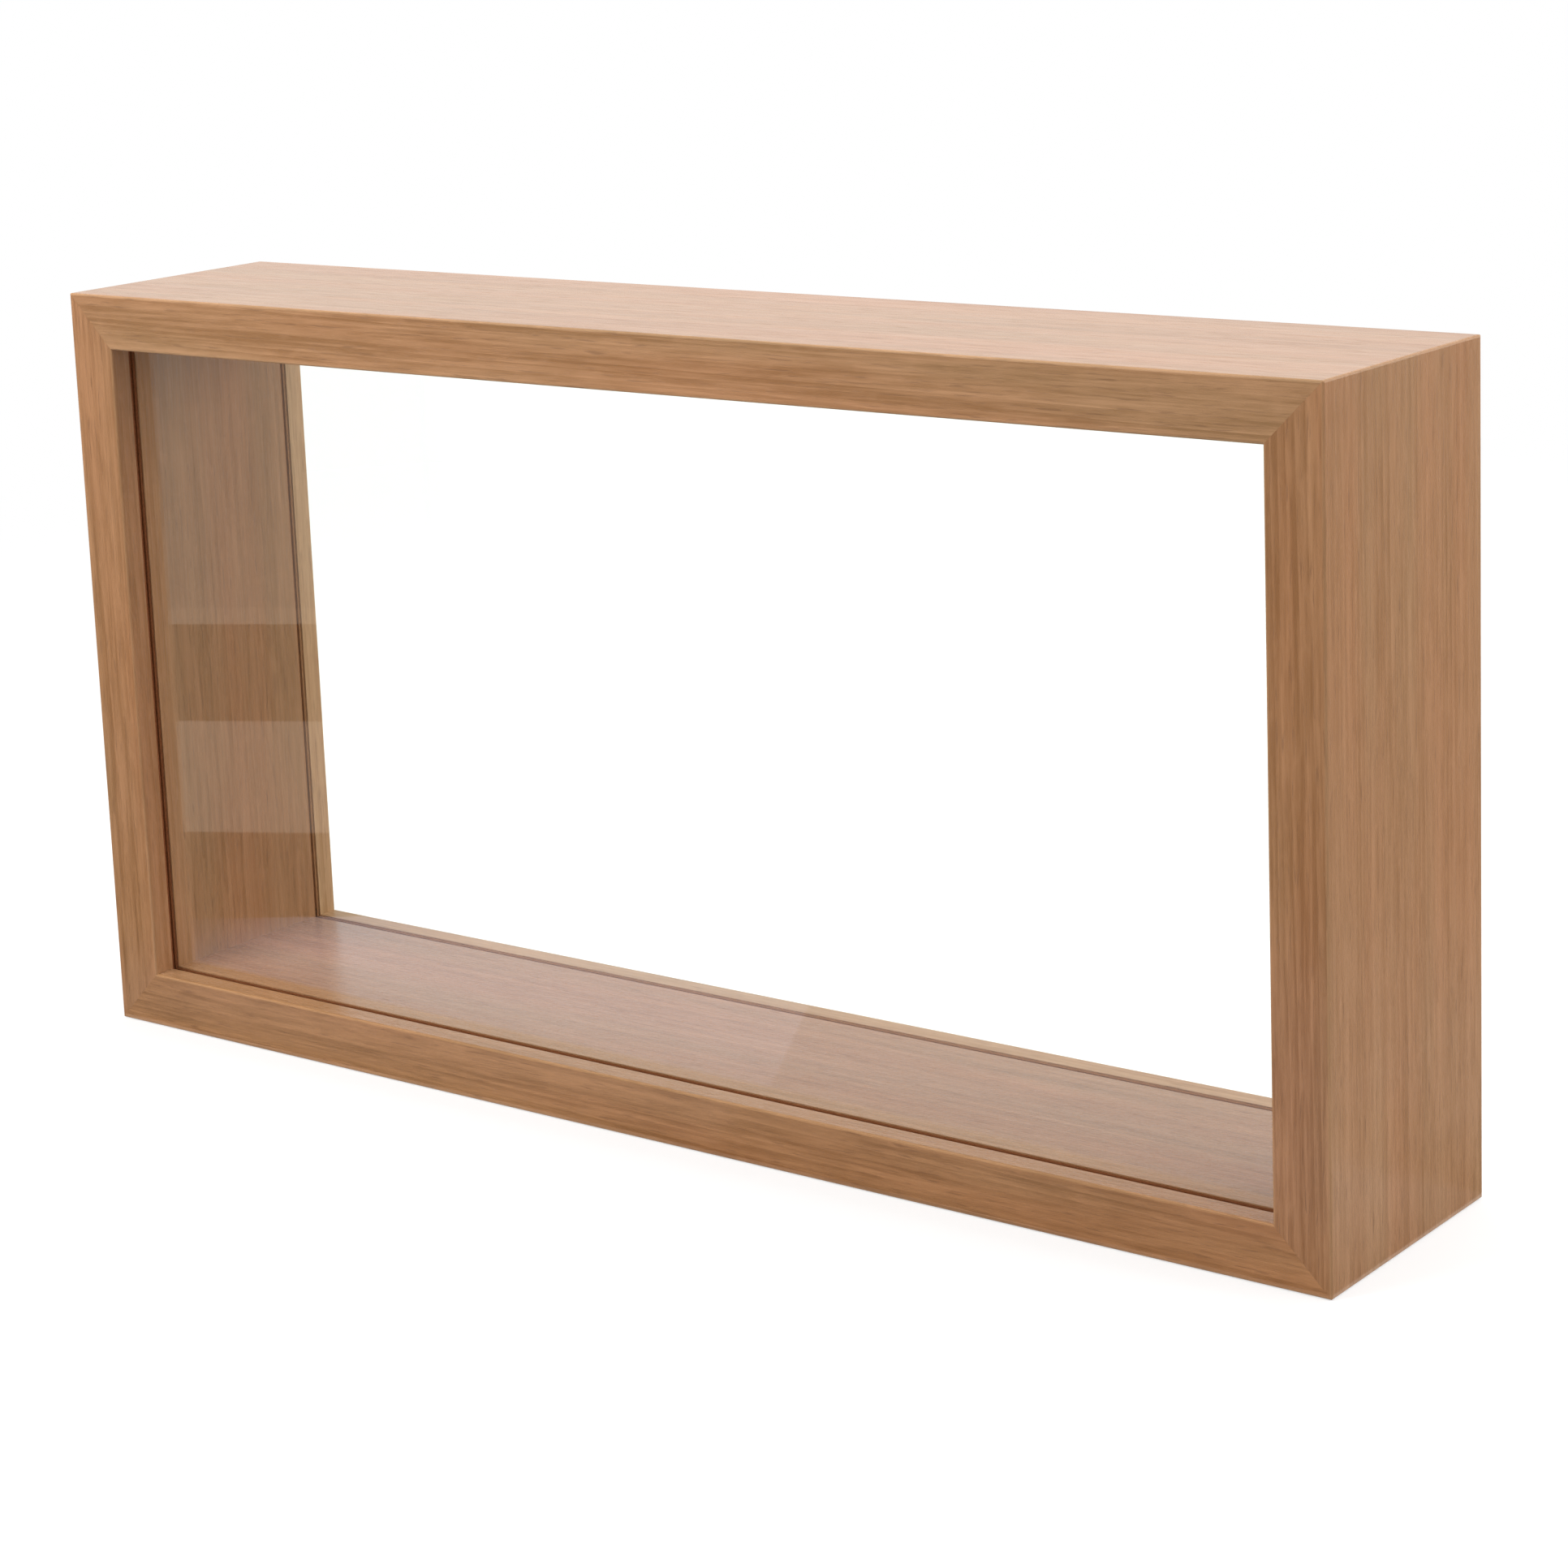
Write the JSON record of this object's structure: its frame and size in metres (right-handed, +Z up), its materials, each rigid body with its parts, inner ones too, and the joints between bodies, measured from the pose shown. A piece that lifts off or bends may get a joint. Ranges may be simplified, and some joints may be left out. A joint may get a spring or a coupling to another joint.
{
  "type": "shadow box",
  "caption": "Rectangular mitred oak shadow box, see-through from front to back: a captive front pane and a rear pane in an insert frame that pulls off the back.",
  "frame": {"origin": "centre of the footprint on the underside", "axes": "+Z up, +X to the right along the length as seen from the front, +Y from the front to the back, so the front faces -Y"},
  "size_m": [0.65, 0.123, 0.347],
  "materials": {
    "oak_case": "quarter-cut oak veneer on board, satin lacquer",
    "oak_insert": "quarter-cut oak veneer on rails, satin lacquer",
    "beech": "pressed or sawn beech, unfinished",
    "glass": "clear float glass, polished, seamed edges",
    "rubber": "black setting-block rubber, matt",
    "foam": "dark brown foam glazing tape, matt",
    "nickel": "nickel-plated disc magnet"
  },
  "bodies": {
    "case": {"top_board": "oak_case", "bottom_board": "oak_case", "left_board": "oak_case", "right_board": "oak_case", "biscuit_bottom_left_1": "beech", "biscuit_bottom_left_2": "beech", "biscuit_bottom_right_1": "beech", "biscuit_bottom_right_2": "beech", "biscuit_top_left_1": "beech", "biscuit_top_left_2": "beech", "biscuit_top_right_1": "beech", "biscuit_top_right_2": "beech", "front_pane": "glass", "front_tape_outer": "foam", "front_tape_inner": "foam", "rear_seal": "foam", "front_setting_block_left": "rubber", "front_setting_block_right": "rubber", "case_magnet_bottom_1": "nickel", "case_magnet_bottom_2": "nickel", "case_magnet_left_1": "nickel", "case_magnet_left_2": "nickel", "case_magnet_top_1": "nickel", "case_magnet_top_2": "nickel", "case_magnet_right_1": "nickel", "case_magnet_right_2": "nickel"},
    "rear_insert": {"insert_top_rail": "oak_insert", "insert_bottom_rail": "oak_insert", "insert_left_rail": "oak_insert", "insert_right_rail": "oak_insert", "insert_feather_bottom_left": "beech", "insert_feather_bottom_right": "beech", "insert_feather_top_left": "beech", "insert_feather_top_right": "beech", "rear_pane": "glass", "rear_tape": "foam", "insert_magnet_bottom_1": "nickel", "insert_magnet_bottom_2": "nickel", "insert_magnet_left_1": "nickel", "insert_magnet_left_2": "nickel", "insert_magnet_top_1": "nickel", "insert_magnet_top_2": "nickel", "insert_magnet_right_1": "nickel", "insert_magnet_right_2": "nickel"}
  },
  "joints": [
    {"name": "insert_pull", "type": "slide", "parent": "case", "child": "rear_insert", "axis": [0, 1, 0], "range_m": [0, 0.15]}
  ]
}
